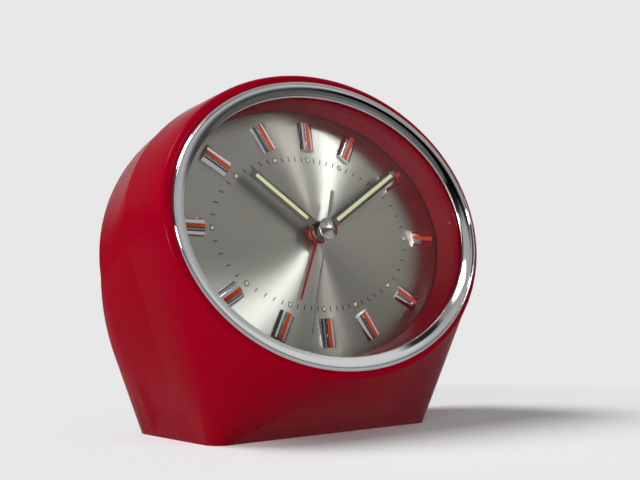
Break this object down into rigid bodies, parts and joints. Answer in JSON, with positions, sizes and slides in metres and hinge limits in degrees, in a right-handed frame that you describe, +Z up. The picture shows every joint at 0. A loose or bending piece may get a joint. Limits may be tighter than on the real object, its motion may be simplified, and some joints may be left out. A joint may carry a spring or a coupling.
{
  "type": "wind-up alarm clock",
  "caption": "Wind-up alarm clock with a leaning oval face, chromed bezel and baton hands in a glossy red case that flares down to a flat base.",
  "frame": {"origin": "centre of the base footprint, on the surface that the clock stands on", "axes": "+X to the right seen from the front, +Y to the back, +Z up; the face looks to -Y and leans back 9 degrees"},
  "size_m": [0.1128, 0.0588, 0.1005],
  "materials": {
    "case_red": "glossy moulded plastic",
    "chrome": "polished",
    "crystal": "clear",
    "dial_silver": "radially brushed",
    "marker_orange": "enamel",
    "hand_red": "satin paint",
    "hand_silver": "satin",
    "lume": "luminous paint",
    "brass": "stamped and lacquered",
    "steel": "turned",
    "spring_steel": "blued",
    "nickel": "nickel plated",
    "cover_steel": "lacquered steel"
  },
  "bodies": {
    "frame": {"case_shell": "case_red", "bezel": "chrome", "crystal": "crystal", "reflector_ring": "case_red", "dial": "dial_silver", "hour_markers": "chrome", "marker_inlays": "marker_orange", "front_plate": "brass", "back_plate": "brass", "pillars": "steel", "pillar_nuts": "steel", "movement_screws": "steel", "time_mainspring": "spring_steel", "alarm_mainspring": "spring_steel", "hairspring": "spring_steel", "alarm_trip_spring": "spring_steel", "rear_cover": "cover_steel", "cover_screws": "steel"},
    "seconds": {"fourth_wheel": "brass", "seconds_hand": "hand_silver", "hub_cap": "chrome"},
    "minutes": {"centre_wheel": "brass", "cannon_pinion": "brass", "minute_hand": "chrome", "minute_hand_lume": "lume"},
    "hours": {"hour_wheel": "brass", "hour_hand": "chrome", "hour_hand_lume": "lume"},
    "third": {"third_wheel": "brass"},
    "escape": {"escape_wheel": "brass"},
    "time_great": {"time_great_wheel": "brass"},
    "time_pawl": {"time_click": "steel"},
    "minute_reduction": {"minute_wheel": "brass"},
    "time_setting": {"set_arbor": "steel", "set_knob": "nickel"},
    "alarm_time": {"alarm_wheel": "brass", "alarm_hand": "hand_red"},
    "alarm_setting": {"alarm_set_arbor": "steel", "alarm_set_knob": "nickel"},
    "time_winding": {"time_arbor": "steel", "time_key": "nickel"},
    "alarm_winding": {"alarm_arbor": "steel", "alarm_key": "nickel"},
    "alarm_great": {"alarm_great_wheel": "brass"},
    "alarm_pawl": {"alarm_click": "steel"},
    "star": {"alarm_star_wheel": "brass"},
    "hammer": {"hammer": "spring_steel"},
    "pallets": {"pallet_lever": "spring_steel"},
    "balance": {"balance_wheel": "brass"},
    "regulator": {"regulator": "steel"},
    "stop": {"stop_button": "nickel"}
  },
  "joints": [
    {"name": "minute_turn", "type": "hinge", "parent": "frame", "child": "minutes", "pos_m": [0, -0.0141, 0.056], "axis": [0, 0.9877, -0.1564], "continuous": true},
    {"name": "seconds_turn", "type": "hinge", "parent": "frame", "child": "seconds", "pos_m": [0, -0.0141, 0.056], "axis": [0, 0.9877, -0.1564], "continuous": true},
    {"name": "hour_turn", "type": "hinge", "parent": "frame", "child": "hours", "pos_m": [0, -0.0141, 0.056], "axis": [0, 0.9877, -0.1564], "continuous": true},
    {"name": "third_turn", "type": "hinge", "parent": "frame", "child": "third", "pos_m": [0, -0.01219, 0.06809], "axis": [0, 0.9877, -0.1564], "continuous": true},
    {"name": "escape_turn", "type": "hinge", "parent": "frame", "child": "escape", "pos_m": [0, -0.01599, 0.04405], "axis": [0, 0.9877, -0.1564], "continuous": true},
    {"name": "time_great_turn", "type": "hinge", "parent": "frame", "child": "time_great", "pos_m": [-0.01476, -0.01426, 0.05498], "axis": [0, 0.9877, -0.1564], "continuous": true},
    {"name": "minute_wheel_turn", "type": "hinge", "parent": "frame", "child": "minute_reduction", "pos_m": [-0.00674, -0.01293, 0.0634], "axis": [0, 0.9877, -0.1564], "continuous": true},
    {"name": "time_set_turn", "type": "hinge", "parent": "frame", "child": "time_setting", "pos_m": [-0.01349, -0.01176, 0.0708], "axis": [0, 0.9877, -0.1564], "continuous": true},
    {"name": "alarm_time_turn", "type": "hinge", "parent": "frame", "child": "alarm_time", "pos_m": [0, -0.0141, 0.056], "axis": [0, 0.9877, -0.1564], "continuous": true},
    {"name": "alarm_set_turn", "type": "hinge", "parent": "frame", "child": "alarm_setting", "pos_m": [0.01349, -0.01176, 0.0708], "axis": [0, 0.9877, -0.1564], "continuous": true},
    {"name": "alarm_great_turn", "type": "hinge", "parent": "frame", "child": "alarm_great", "pos_m": [0.0154, -0.01427, 0.05494], "axis": [0, 0.9877, -0.1564], "continuous": true},
    {"name": "star_turn", "type": "hinge", "parent": "frame", "child": "star", "pos_m": [0.01168, -0.01644, 0.0412], "axis": [0, 0.9877, -0.1564], "continuous": true},
    {"name": "time_pawl_lift", "type": "hinge", "parent": "time_great", "child": "time_pawl", "pos_m": [-0.00716, -0.01426, 0.05498], "axis": [0, 0.9877, -0.1564], "range_deg": [0, 10], "stiffness_Nm_per_rad": 0.00002},
    {"name": "alarm_pawl_lift", "type": "hinge", "parent": "alarm_great", "child": "alarm_pawl", "pos_m": [0.023, -0.01427, 0.05494], "axis": [0, 0.9877, -0.1564], "range_deg": [0, 10], "stiffness_Nm_per_rad": 0.00002},
    {"name": "time_key_wind", "type": "hinge", "parent": "frame", "child": "time_winding", "pos_m": [-0.01476, -0.01426, 0.05498], "axis": [0, 0.9877, -0.1564], "range_deg": [0, 2430]},
    {"name": "alarm_key_wind", "type": "hinge", "parent": "frame", "child": "alarm_winding", "pos_m": [0.0154, -0.01427, 0.05494], "axis": [0, 0.9877, -0.1564], "range_deg": [0, 1890]},
    {"name": "pallet_rock", "type": "hinge", "parent": "frame", "child": "pallets", "pos_m": [0, -0.01699, 0.03773], "axis": [0, 0.9877, -0.1564], "range_deg": [-6, 6]},
    {"name": "balance_swing", "type": "hinge", "parent": "frame", "child": "balance", "pos_m": [0, -0.01826, 0.02973], "axis": [0, 0.9877, -0.1564], "range_deg": [-220, 220], "stiffness_Nm_per_rad": 0.000005},
    {"name": "regulator_turn", "type": "hinge", "parent": "frame", "child": "regulator", "pos_m": [0, -0.01826, 0.02973], "axis": [0, 0.9877, -0.1564], "range_deg": [-22, 22]},
    {"name": "hammer_swing", "type": "hinge", "parent": "frame", "child": "hammer", "pos_m": [0.01478, -0.01728, 0.03589], "axis": [0, 0.9877, -0.1564], "range_deg": [-9, 0]},
    {"name": "stop_push", "type": "slide", "parent": "frame", "child": "stop", "axis": [0, -0.9877, 0.1564], "range_m": [0, 0.0024]}
  ],
  "couplings": [
    {"joint": "seconds_turn", "follows": "minute_turn", "ratio": 60},
    {"joint": "hour_turn", "follows": "minute_turn", "ratio": 0.083333},
    {"joint": "third_turn", "follows": "minute_turn", "ratio": -8},
    {"joint": "escape_turn", "follows": "minute_turn", "ratio": -600},
    {"joint": "time_great_turn", "follows": "minute_turn", "ratio": -0.15625},
    {"joint": "minute_wheel_turn", "follows": "minute_turn", "ratio": -0.33333},
    {"joint": "time_set_turn", "follows": "minute_turn", "ratio": 1},
    {"joint": "alarm_set_turn", "follows": "alarm_time_turn", "ratio": -6},
    {"joint": "star_turn", "follows": "alarm_great_turn", "ratio": -8}
  ]
}
